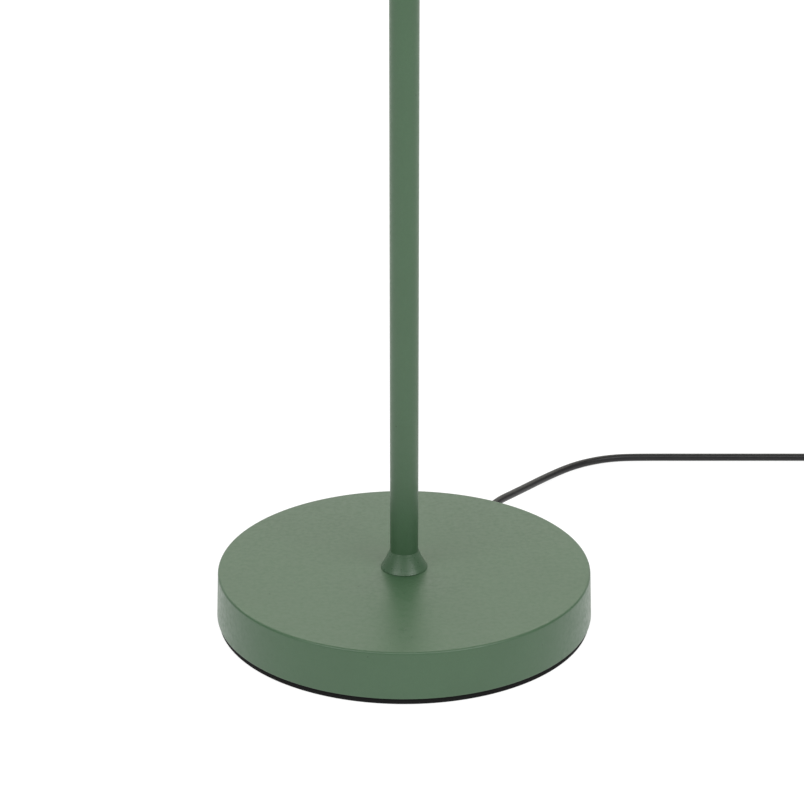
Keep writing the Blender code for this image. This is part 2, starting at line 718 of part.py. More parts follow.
def make_switch(plastic, white, head):
    low = (-19.3, -SWITCH_HALF_WIDTH, SWITCH_HEIGHT - 5.7)
    high = (-HOLDER_STEM_R - 0.6, SWITCH_HALF_WIDTH, SWITCH_HEIGHT + 5.7)
    body = rounded(block("switch_body", white, low, high, parent=head), 0.8, 1)
    place = {"parent": head, "at": (0, 0, SWITCH_HEIGHT), "rotation": (0, math.radians(-90), 0)}
    bore = rod("spindle_bore", white, SPINDLE_R + GAP, 11, 24, 12, **place)
    combine(body, "DIFFERENCE", bore)
    spindle = rod("switch_spindle", plastic, SPINDLE_R, 11.6, 24.0, 12, **place)
    knob_rings = [(5.2, CAP_R + 0.5), (6.0, CAP_R + 1.2), (6.0, CAP_R + 10), (5.2, CAP_R + 11)]
    knob = fluted("switch_knob", plastic, knob_rings, 6, 0.8, 24, **place)
    combine(knob, "UNION", spindle)


def make_cord(pvc, plastic, nickel):
    points = smooth_points(CORD_ROUTE, 13.0)
    tube("power_cord", pvc, points, CORD_R)
    tube("cord_tail", pvc, smooth_points(TAIL_ROUTE, 7.0), CORD_R)

    inner_r = COIL_MIDDLE_R - COIL_HALF_WIDTH
    outer_r = COIL_MIDDLE_R + COIL_HALF_WIDTH
    coil_outline = [
        (outer_r - 2.5, COIL_LOW),
        (outer_r, COIL_LOW + 2.5),
        (outer_r, COIL_LOW + 4.5),
        (outer_r - 4.0, COIL_HIGH),
        (inner_r + 4.0, COIL_HIGH),
        (inner_r, COIL_LOW + 4.5),
        (inner_r, COIL_LOW + 2.5),
        (inner_r + 2.5, COIL_LOW),
    ]
    turned("cord_coil", pvc, coil_outline, SHADE_SIDES, at=(COIL_X, COIL_Y, 0))

    place = {"at": (COIL_X, COIL_Y, 0), "rotation": (0, 0, TIE_ANGLE)}
    strap = 0.6
    half_width = 3.5
    window_low = (inner_r - 0.8, -half_width - 1, strap)
    window_high = (outer_r + GAP, half_width + 1, COIL_HIGH + GAP)
    tie_low = (window_low[0] - strap, -half_width, 0)
    tie_high = (window_high[0] + strap, half_width, window_high[2] + strap)
    tie = block("cord_tie", plastic, tie_low, tie_high, **place)
    combine(tie, "DIFFERENCE", block("tie_window", plastic, window_low, window_high, **place))

    plug_place = {"at": (TAIL_ROUTE[-1][0], PLUG_Y, PLUG_Z)}
    half = PLUG_Z - 0.05
    wide, narrow = PLUG_HALF_WIDTH, PLUG_HALF_WIDTH - 9
    corners = [(-wide, 0), (wide, 0), (wide, 13), (narrow, 32), (-narrow, 32), (-wide, 13)]
    body = prism("plug_body", plastic, corners, -half, half, **plug_place)
    rounded(body, 2.2, 2)
    relief_end = TAIL_ROUTE[-1][1] - GAP - PLUG_Y
    relief_outline = [(0, 28), (5.0, 28), (4.8, 33), (3.5, relief_end), (0, relief_end)]
    relief = turned("plug_relief", plastic, relief_outline, rotation=ALONG_Y, **plug_place)
    combine(body, "UNION", relief)
    for side, offset in (("left", -PIN_SPACING / 2), ("right", PIN_SPACING / 2)):
        outline = [(0, GAP), (PIN_R, GAP), (PIN_R, PIN_LENGTH - 1.2)]
        outline += [(PIN_R - 0.8, PIN_LENGTH), (0, PIN_LENGTH)]
        at = (TAIL_ROUTE[-1][0] + offset, PLUG_Y, PLUG_Z)
        toward_pins = (math.radians(90), 0, 0)
        turned("plug_pin_" + side, nickel, outline, 12, at=at, rotation=toward_pins)


def make_pole_lead(pvc):
    """The cord's own end, from the gland under the weight and up inside the pole."""
    points = [at_gland(outward, 0, GLAND_Z) for outward in (GLAND_TIP - 1, 140, 128)]
    points += [at_gland(outward, 0, LEAD_Z) for outward in (110, 90, 70, 50, 30, 18)]
    for step in range(7):
        angle = math.radians(90 * step / 6)
        outward = LEAD_BEND_R - LEAD_BEND_R * math.sin(angle)
        height = LEAD_Z + LEAD_BEND_R - LEAD_BEND_R * math.cos(angle)
        points.append(at_gland(outward, 0, height))
    points += [Vector((0, 0, height)) for height in range(60, 1160, 90)]
    points.append(Vector((0, 0, POLE_TOP)))
    tube("pole_lead", pvc, points, CORD_R)


def main():
    clear_scene()
    bpy.context.scene.unit_settings.scale_length = 1.0
    paint = finish_material("green_powder_coat", (0.107, 0.181, 0.114), 0.42)
    iron = finish_material("cast_iron", (0.08, 0.08, 0.085), 0.7, 0.6)
    foam = finish_material("black_foam", (0.018, 0.018, 0.018), 0.9)
    zinc = finish_material("zinc_plate", (0.6, 0.6, 0.6), 0.35, 1.0)
    nickel = finish_material("nickel", (0.7, 0.69, 0.66), 0.25, 1.0)
    plastic = finish_material("black_plastic", (0.022, 0.022, 0.023), 0.5)
    white = finish_material("white_plastic", (0.75, 0.74, 0.72), 0.5)
    pvc = finish_material("black_pvc", (0.03, 0.03, 0.031), 0.4)
    glass = finish_material("opal_glass", (0.9, 0.9, 0.88), 0.3)

    make_base(paint, iron, foam, zinc)
    make_cord_anchor(plastic, zinc)
    make_pole(paint, zinc)
    make_pole_lead(pvc)
    make_cord(pvc, plastic, nickel)

    make_swivel(paint, zinc)
    lower = pivot("lower_pivot", (0, 0, ARM_PIVOT_Z))
    clamp_pieces("arm", zinc, plastic, foam, lower)
    arm = pivot("arm_pivot", (0, 0, ARM_PIVOT_Z), (0, math.pi / 2 - ARM_RISE, 0))
    make_arm(paint, pvc, arm)

    reach = Vector((math.cos(ARM_RISE), 0, math.sin(ARM_RISE))) * ARM_LENGTH
    far_end = Vector((0, 0, ARM_PIVOT_Z)) + reach
    upper = pivot("upper_pivot", far_end)
    clamp_pieces("head", zinc, plastic, foam, upper)
    head = pivot("head_pivot", far_end, TURNED_OVER)
    make_head(paint, white, zinc, pvc, head)
    make_bulb(nickel, glass, head)
    make_switch(plastic, white, head)


main()
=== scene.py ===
"""Looks of the adjustable arm floor lamp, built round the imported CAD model."""

import json
import math

import bmesh
import bpy
from mathutils import Matrix, Vector


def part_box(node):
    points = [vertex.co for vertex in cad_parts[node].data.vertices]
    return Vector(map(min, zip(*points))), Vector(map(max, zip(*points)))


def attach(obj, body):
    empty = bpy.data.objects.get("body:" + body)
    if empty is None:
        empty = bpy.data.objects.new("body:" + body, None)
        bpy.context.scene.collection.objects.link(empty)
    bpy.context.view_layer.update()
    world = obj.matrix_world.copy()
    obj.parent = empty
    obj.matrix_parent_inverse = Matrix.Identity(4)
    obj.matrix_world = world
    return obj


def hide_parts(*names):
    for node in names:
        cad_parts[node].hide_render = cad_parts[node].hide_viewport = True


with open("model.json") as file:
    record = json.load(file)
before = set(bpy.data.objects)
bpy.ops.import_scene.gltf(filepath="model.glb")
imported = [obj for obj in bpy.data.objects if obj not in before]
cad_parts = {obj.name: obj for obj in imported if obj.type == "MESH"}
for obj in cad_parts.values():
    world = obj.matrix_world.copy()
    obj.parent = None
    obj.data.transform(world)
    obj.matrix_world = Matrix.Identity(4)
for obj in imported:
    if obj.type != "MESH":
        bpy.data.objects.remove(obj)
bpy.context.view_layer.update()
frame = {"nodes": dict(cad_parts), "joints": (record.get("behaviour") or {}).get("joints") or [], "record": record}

MM = 0.001
RECORD = frame["record"]
NODE_BODY = {node: body for body, nodes in RECORD["behaviour"]["bodies"].items() for node in nodes}
PIVOTS = {joint["name"]: Vector(joint["pos_m"]) for joint in frame["joints"]}
LOWER = PIVOTS["arm_tilt"]
UPPER = PIVOTS["head_tilt"]
FINE = 160  # sides of a large turned piece
MEDIUM = 96
SMALL = 64
SHARP = math.radians(32)  # edges bent further than this stay sharp
LEAD_BORE_R = 5.3  # mm, for the 10 mm tubes that the wiring runs through
BOLT_BORE_R = 3.3  # mm, round the pivots' bolts
SHEET = 1.2  # mm, the base cover's wall and the pole's

# ---------------------------------------------------------------- camera

CAMERA_AT = Vector((-0.0015, -1.5549, 0.7898))
CAMERA_PITCH = math.radians(22.03)
CAMERA_LENS = 111.2


def make_camera():
    camera = bpy.data.objects.new("camera", bpy.data.cameras.new("camera"))
    camera.data.sensor_width = 36.0
    camera.data.lens = CAMERA_LENS
    camera.data.clip_end = 60.0
    camera.location = CAMERA_AT
    camera.rotation_euler = (math.pi / 2 - CAMERA_PITCH, 0, 0)
    bpy.context.scene.collection.objects.link(camera)
    bpy.context.scene.camera = camera


# ---------------------------------------------------------------- cord

CORD_D = 0.0059
CORD_EXIT = (0.0577, 0.1428, 0.011)

# From just inside the gland to the coil, as in the CAD source
CORD_ROUTE = [
    (0.0562, 0.1391, 0.0110),
    (0.0578, 0.1431, 0.0110),
    (0.0649, 0.1563, 0.0112),
    (0.0730, 0.1706, 0.0109),
    (0.0819, 0.1844, 0.0093),
    (0.0903, 0.1977, 0.0075),
    (0.0986, 0.2109, 0.0058),
    (0.1071, 0.2236, 0.0044),
    (0.1156, 0.2348, 0.0035),
    (0.1240, 0.2445, 0.0030),
    (0.1324, 0.2521, 0.0030),
    (0.1407, 0.2582, 0.0030),
    (0.1490, 0.2630, 0.0030),
    (0.1573, 0.2667, 0.0030),
    (0.1655, 0.2692, 0.0030),
    (0.1750, 0.2709, 0.0030),
    (0.1880, 0.2716, 0.0030),
    (0.2050, 0.2718, 0.0030),
    (0.2350, 0.2718, 0.0030),
    (0.2650, 0.2718, 0.0030),
    (0.2950, 0.2718, 0.0030),
    (0.3250, 0.2718, 0.0030),
    (0.3380, 0.2718, 0.0032),
    (0.3483, 0.2718, 0.0035),
    (0.3600, 0.2718, 0.0038),
]
TAIL_ROUTE = [
    (0.4149, 0.2160, 0.0088),
    (0.4149, 0.2060, 0.0085),
    (0.4149, 0.1973, 0.0081),
    (0.4149, 0.1900, 0.0076),
    (0.4149, 0.1810, 0.00705),
    (0.4149, 0.1723, 0.00685),
    (0.4149, 0.1640, 0.00685),
]
COIL_CENTRE = (0.372, 0.2259)
COIL_FLOOR = 0.0009 + CORD_D / 2
COIL_PITCH = 0.00595
LOWER_TURNS = [0.0459 - COIL_PITCH * turn for turn in range(4)]
UPPER_TURNS = [0.0310 + COIL_PITCH * turn for turn in range(3)]
ROW_RISE = math.sqrt(CORD_D**2 - (COIL_PITCH / 2) ** 2)
COIL_START = 90.0  # degrees, where the cord joins the coil
CROSSING = 60.0  # degrees before the start, where each turn steps to the next
TURN_STEPS = 72
CORD_POINTS_APART = 0.0022


def ease(share):
    share = min(1.0, max(0.0, share))
    return share * share * (3 - 2 * share)


def coil_points():
    """Turns laid flat from the outside in, then a second row on them from the inside out."""
    radii = LOWER_TURNS + UPPER_TURNS
    rows = [0] * len(LOWER_TURNS) + [1] * len(UPPER_TURNS)
    points = []
    last = len(radii) - 1
    for turn, (radius, row) in enumerate(zip(radii, rows)):
        steps = TURN_STEPS if turn < last else TURN_STEPS // 4
        following = min(turn + 1, last)
        for step in range(steps):
            walked = 360.0 * step / TURN_STEPS
            crossed = ease((walked - (360 - CROSSING)) / CROSSING)
            climbed = ease((walked - (360 - 2 * CROSSING)) / CROSSING)
            reach = radius + (radii[following] - radius) * crossed
            height = COIL_FLOOR + ROW_RISE * (row + (rows[following] - row) * climbed)
            if row:
                height += (CORD_D - ROW_RISE) * math.sin(math.pi * crossed)
            angle = math.radians(COIL_START - walked)
            x = COIL_CENTRE[0] + reach * math.cos(angle)
            points.append((x, COIL_CENTRE[1] + reach * math.sin(angle), height))
    return points


def smooth_line(route, spacing):
    """A Catmull-Rom curve through the route's points, with points at a nearly even spacing."""
    route = [Vector(point) for point in route]
    ends = [2 * route[0] - route[1]] + route + [2 * route[-1] - route[-2]]
    dense = [route[0]]
    steps = 12
    for a, b, c, d in zip(ends, ends[1:], ends[2:], ends[3:]):
        for step in range(1, steps + 1):
            t = step / steps
            linear = (c - a) * t
            square = (2 * a - 5 * b + 4 * c - d) * t**2
            cubic = (3 * b - 3 * c + d - a) * t**3
            dense.append(b + (linear + square + cubic) / 2)
    points, walked = [dense[0]], 0.0
    for before, after in zip(dense, dense[1:]):
        walked += (after - before).length
        if walked >= spacing:
            points.append(after)
            walked = 0.0
    if points[-1] != dense[-1]:
        points.append(dense[-1])
    return points


def make_cord(materials):
    line = smooth_line(CORD_ROUTE + coil_points() + TAIL_ROUTE, CORD_POINTS_APART)
    curve = bpy.data.curves.new("mains_cord", "CURVE")
    curve.dimensions = "3D"
    curve.bevel_depth = CORD_D / 2
    curve.bevel_resolution = 7
    curve.use_fill_caps = True
    spline = curve.splines.new("POLY")
    spline.points.add(len(line) - 1)
    for target, point in zip(spline.points, line):
        target.co = (*point, 1)
    curve.materials.append(materials["cord"])
    cord = bpy.data.objects.new("mains_cord", curve)
    bpy.context.scene.collection.objects.link(cord)
    stands_for(cord, "power_cord", "cord_coil", "cord_tail")
    return cord


# ---------------------------------------------------------------- shapes


def stands_for(piece, *nodes):
    """The piece moves with the first node's body and hides the nodes."""
    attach(piece, NODE_BODY[nodes[0]])
    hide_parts(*nodes)
    return piece


def piece_from(mesh_data, name, finishes, matrix=None):
    bmesh.ops.recalc_face_normals(mesh_data, faces=mesh_data.faces)
    mesh = bpy.data.meshes.new(name)
    mesh_data.to_mesh(mesh)
    mesh_data.free()
    if matrix is not None:
        mesh.transform(matrix)
    for finish in finishes:
        mesh.materials.append(finish)
    mesh.shade_smooth()
    mesh.set_sharp_from_angle(angle=SHARP)
    piece = bpy.data.objects.new(name, mesh)
    bpy.context.scene.collection.objects.link(piece)
    return piece


def softened(corners, closed):
    """An outline of (radius, height, fillet) corners, in millimetres, with each fillet as an arc."""
    points = []
    count = len(corners)
    for index, (radius, height, *fillet) in enumerate(corners):
        at_end = not closed and index in (0, count - 1)
        if not fillet or at_end:
            points.append((radius, height))
            continue
        here = Vector((radius, height))
        before = Vector(corners[index - 1][:2]) - here
        after = Vector(corners[(index + 1) % count][:2]) - here
        half = before.angle(after) / 2
        away = min(fillet[0] / math.tan(half), 0.49 * before.length, 0.49 * after.length)
        centre = here + (before.normalized() + after.normalized()).normalized() * (
            away / math.cos(half)
        )
        start = here + before.normalized() * away - centre
        finish = here + after.normalized() * away - centre
        turn = math.atan2(start.x * finish.y - start.y * finish.x, start.dot(finish))
        steps = max(2, round(abs(turn) / math.radians(15)))
        for step in range(steps + 1):
            spoke = Matrix.Rotation(turn * step / steps, 2) @ start
            points.append(tuple(centre + spoke))
    return points


def turned_shape(corners, sides, reach=None, zone=None):
    """A bmesh turned about Z. reach(radius, height, angle) may vary the radius round the piece,
    and zone(radius, height) picks a face's material. A loop on the axis is a single point."""
    closed = corners[0][0] > 0
    outline = softened(corners, closed)
    shape = bmesh.new()
    loops = []
    for radius, height in outline:
        if radius == 0:
            loops.append([shape.verts.new((0, 0, height * MM))])
            continue
        loop = []
        for side in range(sides):
            angle = math.tau * side / sides
            out = (reach(radius, height, angle) if reach else radius) * MM
            place = (out * math.cos(angle), out * math.sin(angle), height * MM)
            loop.append(shape.verts.new(place))
        loops.append(loop)
    pairs = list(zip(range(len(loops)), range(1, len(loops))))
    if closed:
        pairs.append((len(loops) - 1, 0))
    for low, high in pairs:
        if outline[low][0] == 0 and outline[high][0] == 0:
            continue
        middle = [(a + b) / 2 for a, b in zip(outline[low], outline[high])]
        finish = zone(*middle) if zone else 0
        for side in range(sides):
            after = (side + 1) % sides
            first, second = loops[low], loops[high]
            quad = [first[side % len(first)], first[after % len(first)]]
            quad += [second[after % len(second)], second[side % len(second)]]
            face = shape.faces.new(list(dict.fromkeys(quad)))
            face.material_index = finish
    return shape


def turned(name, finishes, corners, sides=MEDIUM, matrix=None, reach=None, zone=None):
    return piece_from(turned_shape(corners, sides, reach, zone), name, finishes, matrix)


def drill(piece, radius, low, high, matrix):
    """Cuts a round hole through a piece, along the matrix's own Z axis. The cutter is turned by
    half a side, so that none of its corners lies on an edge of the piece."""
    shape = turned_shape([(0, low), (radius, low), (radius, high), (0, high)], SMALL)
    bmesh.ops.recalc_face_normals(shape, faces=shape.faces)
    half_side = Matrix.Rotation(math.pi / SMALL, 4, "Z")
    bmesh.ops.transform(shape, matrix=matrix @ half_side, verts=shape.verts)
    mesh = bpy.data.meshes.new("bit")
    shape.to_mesh(mesh)
    shape.free()
    bit = bpy.data.objects.new("bit", mesh)
    bpy.context.scene.collection.objects.link(bit)
    hole = piece.modifiers.new("hole", "BOOLEAN")
    hole.operation = "DIFFERENCE"
    hole.object = bit
    bpy.context.view_layer.update()
    graph = bpy.context.evaluated_depsgraph_get()
    cut = bpy.data.meshes.new_from_object(piece.evaluated_get(graph))
    piece.modifiers.clear()
    piece.data = cut
    cut.set_sharp_from_angle(angle=SHARP)
    bpy.data.objects.remove(bit)


def block_shape(low, high):
    shape = bmesh.new()
    bmesh.ops.create_cube(shape, size=1)
    low, high = Vector(low) * MM, Vector(high) * MM
    bmesh.ops.scale(shape, vec=high - low, verts=shape.verts)
    bmesh.ops.translate(shape, vec=(low + high) / 2, verts=shape.verts)
    return shape


def cast(name, finishes, shells, matrix, voxel, rounds):
    """Melts overlapping closed shells into one casting, with soft inner and outer corners."""
    mesh = bpy.data.meshes.new(name)
    together = bmesh.new()
    for shell, place in shells:
        bmesh.ops.recalc_face_normals(shell, faces=shell.faces)
        bmesh.ops.transform(shell, matrix=place, verts=shell.verts)
        shell.to_mesh(mesh)
        together.from_mesh(mesh)
        shell.free()
    together.to_mesh(mesh)
    together.free()
    rough = bpy.data.objects.new(name + "_rough", mesh)
    bpy.context.scene.collection.objects.link(rough)
    remesh = rough.modifiers.new("remesh", "REMESH")
    remesh.mode = "VOXEL"
    remesh.voxel_size = voxel * MM
    smooth = rough.modifiers.new("smooth", "SMOOTH")
    smooth.factor = 0.5
    smooth.iterations = rounds
    graph = bpy.context.evaluated_depsgraph_get()
    final = bpy.data.meshes.new_from_object(rough.evaluated_get(graph))
    bpy.data.objects.remove(rough)
    final.name = name
    final.transform(matrix)
    final.materials.clear()
    for finish in finishes:
        final.materials.append(finish)
    final.shade_smooth()
    piece = bpy.data.objects.new(name, final)
    bpy.context.scene.collection.objects.link(piece)
    return piece


# ---------------------------------------------------------------- materials


# The sockets of a colour mix node, which share their names with those for numbers and vectors
MIX_SHARE, MIX_FIRST, MIX_SECOND = 0, 6, 7
MIX_RESULT = 2


class Finish:
    """A Principled material whose colour, roughness and bump come from noise in object space."""

    def __init__(self, name, roughness, metallic=0.0, **fixed):
        self.material = bpy.data.materials.new(name)
        self.material.use_nodes = True
        self.tree = self.material.node_tree
        self.shader = self.tree.nodes["Principled BSDF"]
        self.shader.inputs["Roughness"].default_value = roughness
        self.shader.inputs["Metallic"].default_value = metallic
        for socket, value in fixed.items():
            self.shader.inputs[socket.replace("_", " ")].default_value = value
        self.place = self.node("ShaderNodeTexCoord").outputs["Object"]

    def node(self, kind, **settings):
        made = self.tree.nodes.new(kind)
        for name, value in settings.items():
            setattr(made, name, value)
        return made

    def feed(self, target, value):
        if isinstance(value, bpy.types.NodeSocket):
            self.tree.links.new(value, target)
        else:
            target.default_value = value

    def noise(self, scale, detail=2.0, roughness=0.5, stretch=None):
        place = self.place
        if stretch:
            mapping = self.node("ShaderNodeMapping")
            mapping.inputs["Scale"].default_value = stretch
            self.feed(mapping.inputs["Vector"], place)
            place = mapping.outputs["Vector"]
        noise = self.node("ShaderNodeTexNoise")
        self.feed(noise.inputs["Vector"], place)
        noise.inputs["Scale"].default_value = scale
        noise.inputs["Detail"].default_value = detail
        noise.inputs["Roughness"].default_value = roughness
        return noise.outputs["Fac"]

    def spots(self, scale, size):
        """1 in small round spots, one to a cell, and 0 elsewhere."""
        cells = self.node("ShaderNodeTexVoronoi")
        self.feed(cells.inputs["Vector"], self.place)
        cells.inputs["Scale"].default_value = scale
        return self.between(cells.outputs["Distance"], size, size * 0.6, 0.0, 1.0)

    def between(self, value, low, high, out_low, out_high):
        """Maps a value from low..high to out_low..out_high, held at both ends."""
        scaled = self.node("ShaderNodeMapRange")
        self.feed(scaled.inputs["Value"], value)
        bounds = (("From Min", low), ("From Max", high), ("To Min", out_low), ("To Max", out_high))
        for socket, number in bounds:
            scaled.inputs[socket].default_value = number
        return scaled.outputs["Result"]

    def mix(self, share, first, second):
        """The first colour where share is 0 and the second where it is 1."""
        mixed = self.node("ShaderNodeMix", data_type="RGBA", blend_type="MIX")
        self.feed(mixed.inputs[MIX_SHARE], share)
        for index, shade in ((MIX_FIRST, first), (MIX_SECOND, second)):
            is_socket = isinstance(shade, bpy.types.NodeSocket)
            self.feed(mixed.inputs[index], shade if is_socket else (*shade, 1))
        return mixed.outputs[MIX_RESULT]

    def mottle(self, noise, first, second, low=0.3, high=0.7):
        """The two colours, mixed by a noise."""
        return self.mix(self.between(noise, low, high, 0, 1), first, second)

    def colour(self, value):
        self.feed(self.shader.inputs["Base Color"], value)
        return self

    def roughness(self, value):
        self.feed(self.shader.inputs["Roughness"], value)
        return self

    def bump(self, height, strength, distance):
        bump = self.node("ShaderNodeBump")
        bump.inputs["Strength"].default_value = strength
        bump.inputs["Distance"].default_value = distance
        self.feed(bump.inputs["Height"], height)
        self.feed(self.shader.inputs["Normal"], bump.outputs["Normal"])
        return self


def shade_of(colour, factor):
    return tuple(channel * factor for channel in colour)


GREEN = (0.048, 0.111, 0.052)


def powder_coat(name, colour, roughness=0.36, lathe_lines=False):
    """Baked powder: a fine orange peel, a faint cloudiness and a few specks. On a turning, the
    lathe's lines show instead of the peel."""
    finish = Finish(name, roughness, Specular_IOR_Level=0.62)
    cloud = finish.noise(30.0, 3.0)
    grain = finish.noise(1500.0, 2.0, 0.6)
    peel = finish.noise(310.0, 3.0, 0.55)
    tone = finish.mottle(cloud, shade_of(colour, 0.96), shade_of(colour, 1.04), 0.35, 0.65)
    tone = finish.mottle(grain, shade_of(colour, 0.90), tone)
    tone = finish.mix(finish.spots(60.0, 0.035), tone, shade_of(colour, 0.35))
    finish.colour(tone)
    finish.roughness(finish.between(peel, 0.3, 0.7, roughness - 0.07, roughness + 0.08))
    if lathe_lines:
        lines = finish.noise(200.0, 2.0, 0.6, (0.0, 0.0, 5.0))
        return finish.bump(lines, 0.6, 0.0005).material
    return finish.bump(peel, 0.35, 0.0001).material


def moulded(name, colour, roughness=0.5, grain_scale=900.0):
    """Moulded plastic with a spark-eroded texture."""
    finish = Finish(name, roughness)
    grain = finish.noise(grain_scale, 3.0, 0.6)
    finish.colour(finish.mottle(grain, shade_of(colour, 0.85), shade_of(colour, 1.15)))
    finish.roughness(finish.between(grain, 0.3, 0.7, roughness - 0.06, roughness + 0.08))
    return finish.bump(grain, 0.25, 0.0001).material


def cord_sheath():
    """Extruded PVC: smooth, with a fine grain and handling marks."""
    colour = (0.007, 0.007, 0.0072)
    finish = Finish("cord_sheath", 0.38, Specular_IOR_Level=0.36)
    marks = finish.noise(120.0, 4.0, 0.6)
    fine = finish.noise(1400.0, 2.0)
    finish.colour(finish.mottle(marks, colour, shade_of(colour, 1.5), 0.35))
    finish.roughness(finish.between(marks, 0.3, 0.7, 0.32, 0.46))
    return finish.bump(fine, 0.12, 0.0001).material


def foam():
    """Closed-cell foam, dull and pitted."""
    colour = (0.007, 0.007, 0.007)
    finish = Finish("foam_pad", 0.9, Specular_IOR_Level=0.15)
    cells = finish.noise(1800.0, 3.0, 0.7)
    finish.colour(finish.mottle(cells, shade_of(colour, 0.6), shade_of(colour, 1.7)))
    return finish.bump(cells, 0.5, 0.0002).material


def plated(name, colour, roughness):
    """Plated steel with fine drawing lines and dull patches."""
    finish = Finish(name, roughness, metallic=1.0)
    lines = finish.noise(500.0, 2.0, 0.5, (1.0, 1.0, 12.0))
    dull = finish.noise(60.0, 3.0)
    finish.colour(finish.mottle(dull, shade_of(colour, 0.85), colour))
    finish.roughness(finish.between(dull, 0.3, 0.7, roughness - 0.06, roughness + 0.1))
    return finish.bump(lines, 0.1, 0.0001).material


def iron_casting():
    """Rough cast iron, as it comes out of the sand."""
    colour = (0.05, 0.05, 0.052)
    finish = Finish("iron_casting", 0.75, metallic=0.4)
    sand = finish.noise(350.0, 4.0, 0.65)
    finish.colour(finish.mottle(sand, shade_of(colour, 0.6), shade_of(colour, 1.6)))
    return finish.bump(sand, 0.6, 0.0006).material


def opal_glass():
    """Frosted lamp glass, with a thin gloss over a milky body."""
    finish = Finish("opal_glass", 0.28, Coat_Weight=0.4, Coat_Roughness=0.12)
    milk = finish.noise(40.0, 2.0)
    finish.colour(finish.mottle(milk, (0.80, 0.80, 0.78), (0.86, 0.86, 0.84)))
    return finish.bump(finish.noise(900.0, 2.0), 0.05, 0.0001).material


def make_materials():
    return {
        "paint": powder_coat("green_powder_coat", GREEN),
        "turned_paint": powder_coat("green_coat_on_turning", GREEN, 0.32, lathe_lines=True),
        "lining": powder_coat("white_lining", (0.72, 0.72, 0.70), 0.45),
        "cord": cord_sheath(),
        "foam": foam(),
        "black": moulded("black_plastic", (0.019, 0.019, 0.020)),
        "white": moulded("white_plastic", (0.70, 0.69, 0.66), 0.45),
        "washer": moulded("friction_fibre", (0.03, 0.028, 0.026), 0.8, 1500.0),
        "zinc": plated("zinc_plate", (0.56, 0.56, 0.57), 0.32),
        "nickel": plated("nickel_plate", (0.66, 0.64, 0.60), 0.22),
        "iron": iron_casting(),
        "glass": opal_glass(),
    }


# ---------------------------------------------------------------- base and pole


def size_of(node):
    """(largest radius about Z, lowest, highest) of a node that is round about the pole, in mm."""
    low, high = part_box(node)
    return high.x / MM, low.z / MM, high.z / MM


def gland_frame():
    """The gland's own frame, with Z out of the base along the cord."""
    turn = Matrix.Rotation(math.atan2(CORD_EXIT[1], CORD_EXIT[0]), 4, "Z")
    return Matrix.Translation((0, 0, CORD_EXIT[2])) @ turn @ Matrix.Rotation(math.pi / 2, 4, "Y")


def switch_frame():
    """The switch spindle's frame, with Z out of the side of the socket cover."""
    low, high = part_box("switch_knob")
    centre = Matrix.Translation((UPPER.x, 0, (low.z + high.z) / 2))
    return centre @ Matrix.Rotation(math.pi / 2, 4, "Y")


SEAT_DEPTH = 0.12  # mm, pressed into the cover where the collar stands


def make_base(materials):
    """The painted cover, with a shallow seat for the collar, and the foam disc under it."""
    radius, low, high = size_of("base_cover")
    top_r = radius - 1.3
    cover = [
        (radius - 0.7, low),
        (radius - 0.1, low + 0.1, 0.2),
        (radius, low + 0.8, 0.5),
        (top_r, high, 1.9),
        (60.0, high),
        (17.4, high),
        (17.0, high - SEAT_DEPTH, 0.1),
        (LEAD_BORE_R, high - SEAT_DEPTH),
        (LEAD_BORE_R, high - SHEET),
        (top_r - SHEET, high - SHEET, 0.7),
        (radius - SHEET, low),
    ]
    piece = turned("base_shell", [materials["paint"]], cover, 2 * FINE)
    drill(piece, radius=4.5, low=122.0, high=136.0, matrix=gland_frame())
    stands_for(piece, "base_cover")

    pad_r, _, pad_top = size_of("base_pad")
    pad = [
        (0, 0),
        (pad_r - 1.2, 0),
        (pad_r - 0.2, 0.5, 0.6),
        (pad_r, 1.6, 0.8),
        (pad_r - 0.1, pad_top, 0.3),
        (0, pad_top),
    ]
    stands_for(turned("base_foam", [materials["foam"]], pad, FINE), "base_pad")


def make_collar(materials):
    """A cone with a slightly hollow side, open at the top round the pole."""
    foot_r, _, high = size_of("pole_collar")
    gap = 0.12
    low = size_of("base_cover")[2] + gap
    bore_r = size_of("pole_lower")[0] + 0.06
    floor = low + 3.6
    side_low, side_high = low + 0.15, high - 0.25
    side_r, lip_r = foot_r - 0.2, bore_r + 0.35
    hollow = 0.26  # 0 is a straight side
    steps = 12
    collar = [(LEAD_BORE_R, low), (side_r - 0.1, low)]
    for step in range(steps + 1):
        share = step / steps
        drop = (side_r - lip_r) * ((1 + hollow) * share - hollow * share**2)
        collar.append((side_r - drop, side_low + (side_high - side_low) * share))
    collar += [
        (lip_r - 0.15, high),
        (bore_r + 0.05, high),
        (bore_r, high - 0.05),
        (bore_r, floor),
        (LEAD_BORE_R, floor),
    ]
    stands_for(turned("collar", [materials["turned_paint"]], collar, FINE), "pole_collar")


def make_pole(materials):
    for name, node in (("pole_lower_tube", "pole_lower"), ("pole_upper_tube", "pole_upper")):
        radius, low, high = size_of(node)
        tube = [
            (radius, low + 0.4),
            (radius, high - 0.35, 0.3),
            (radius - 0.4, high),
            (radius - SHEET, high),
            (radius - SHEET, low),
            (radius - 0.4, low),
            (radius, low + 0.35, 0.3),
        ]
        stands_for(turned(name, [materials["paint"]], tube, FINE), node)
    radius, low, high = size_of("pole_top_bush")
    shoulder = high - 4.0
    bush = [
        (LEAD_BORE_R, low),
        (8.0, low),
        (8.0, shoulder),
        (radius, shoulder, 0.3),
        (radius, high - 0.2, 0.3),
        (radius - 0.8, high),
        (LEAD_BORE_R, high),
    ]
    stands_for(turned("pole_bearing", [materials["zinc"]], bush, MEDIUM), "pole_top_bush")


